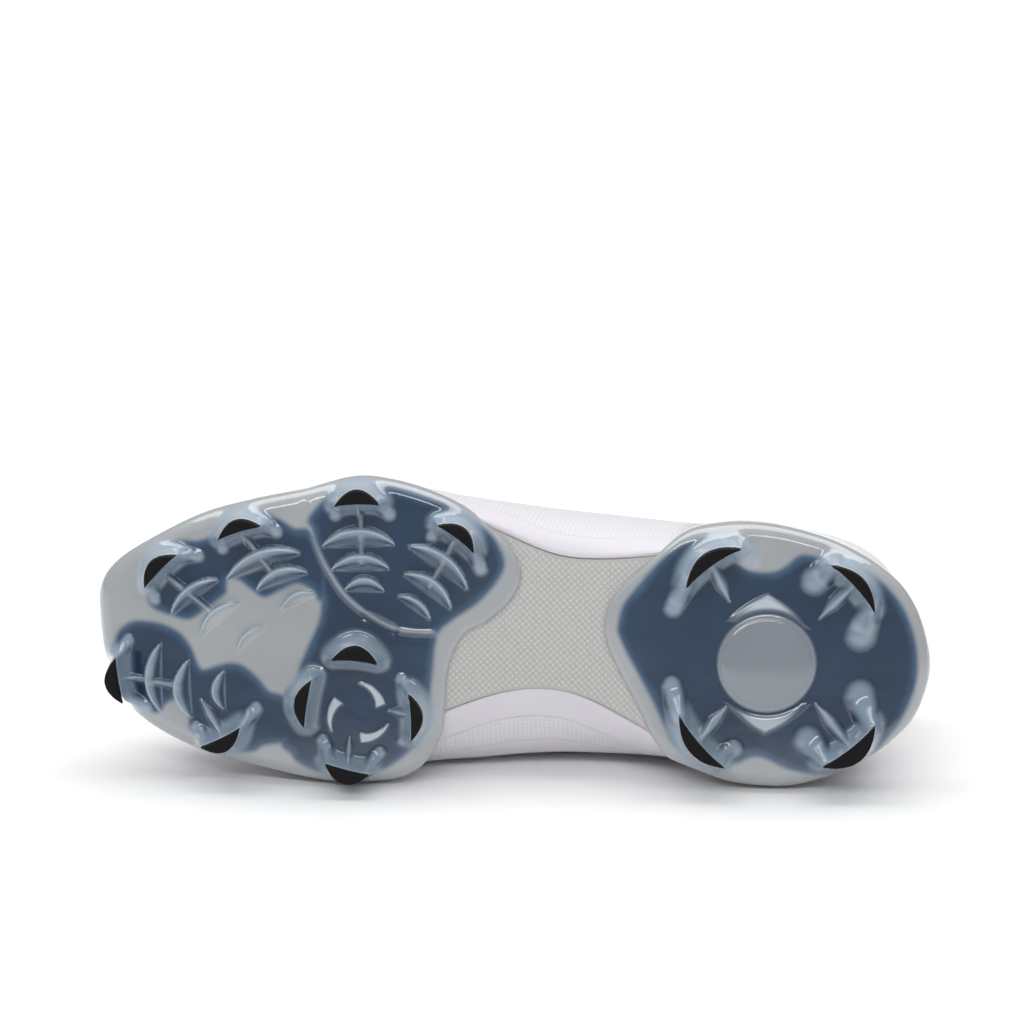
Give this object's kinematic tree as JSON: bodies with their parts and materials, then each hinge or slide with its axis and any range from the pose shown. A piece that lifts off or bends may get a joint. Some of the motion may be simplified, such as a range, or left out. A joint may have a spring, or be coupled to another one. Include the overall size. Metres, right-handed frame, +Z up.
{
  "type": "softball cleat",
  "caption": "Left low-cut moulded softball cleat with two glossy blue outsole plates, black stud ends and a white textured upper, lying on its medial side.",
  "frame": {"origin": "centre of the bounding box on the floor, below the shoe as it lies on its medial side", "axes": "+X towards the heel, -X towards the toe, +Z up towards the lateral side, -Y the way the sole faces"},
  "size_m": [0.2756, 0.1228, 0.1014],
  "materials": {
    "outsole_polyurethane": "glossy translucent thermoplastic polyurethane, blue inside a pale frosted rim",
    "tip_rubber": "black stud ends",
    "arch_foam": "off-white foam with a moulded dot grid under the arch",
    "upper_synthetic": "white coated synthetic, embossed with a fine dot grid above a smooth band",
    "upper_overlay": "smooth white synthetic overlay",
    "lining_textile": "light grey textile lining",
    "lace_webbing": "white flat woven lace"
  },
  "bodies": {
    "root": {"upper": "upper_synthetic", "eyestay": "upper_overlay", "tongue": "lining_textile", "laces": "lace_webbing", "midsole": "arch_foam", "insole": "lining_textile", "forefoot_plate": "outsole_polyurethane", "heel_plate": "outsole_polyurethane", "stud_tip_toe_lateral": "tip_rubber", "stud_tip_lateral_front": "tip_rubber", "stud_tip_lateral_middle": "tip_rubber", "stud_tip_lateral_back": "tip_rubber", "stud_tip_toe_medial": "tip_rubber", "stud_tip_medial_front": "tip_rubber", "stud_tip_pivot_top": "tip_rubber", "stud_tip_pivot_front": "tip_rubber", "stud_tip_pivot_back": "tip_rubber", "stud_tip_pivot_side": "tip_rubber", "stud_tip_heel_front_lateral": "tip_rubber", "stud_tip_heel_back_lateral": "tip_rubber", "stud_tip_heel_front_medial": "tip_rubber", "stud_tip_heel_back_medial": "tip_rubber"}
  },
  "joints": []
}
